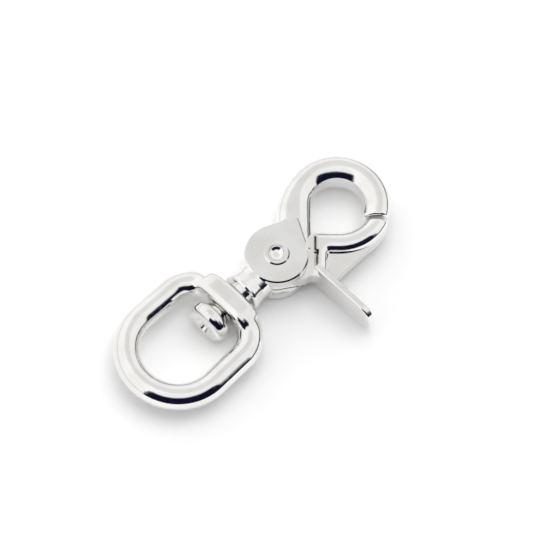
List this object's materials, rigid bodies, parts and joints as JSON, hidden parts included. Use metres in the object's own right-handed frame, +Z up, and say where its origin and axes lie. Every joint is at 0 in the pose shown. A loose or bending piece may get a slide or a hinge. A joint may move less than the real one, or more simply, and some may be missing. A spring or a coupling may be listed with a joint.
{
  "type": "scissor snap hook",
  "caption": "Cast snap hook with a sprung lever jaw and thumb tab on a rivet, and a swivelling D-shaped strap eye on a peened shank.",
  "frame": {"origin": "centre of the footprint, at the lowest point of the snap lying flat", "axes": "+X along the swivel axis from the strap eye to the hook, +Z up along the rivet, +Y away from the thumb tab"},
  "size_m": [0.0896, 0.0463, 0.0116],
  "materials": {
    "nickel_plate": "bright nickel plate over zinc casting",
    "rivet_steel": "bright nickel plated steel",
    "spring_steel": "drawn spring wire"
  },
  "bodies": {
    "body": {"hook_body": "nickel_plate", "pivot_rivet": "rivet_steel", "torsion_spring": "spring_steel"},
    "eye": {"swivel_eye": "nickel_plate"},
    "lever": {"trigger_lever": "nickel_plate"}
  },
  "joints": [
    {"name": "eye_swivel", "type": "hinge", "parent": "body", "child": "eye", "pos_m": [-0.00952, 0.00645, 0.0058], "axis": [1, 0, 0], "continuous": true},
    {"name": "lever_pivot", "type": "hinge", "parent": "body", "child": "lever", "pos_m": [0.00823, 0.00645, 0.0058], "axis": [0, 0, -1], "range_deg": [0, 28], "stiffness_Nm_per_rad": 0.25, "springref_deg": -28.65, "deforming": ["torsion_spring"]}
  ]
}
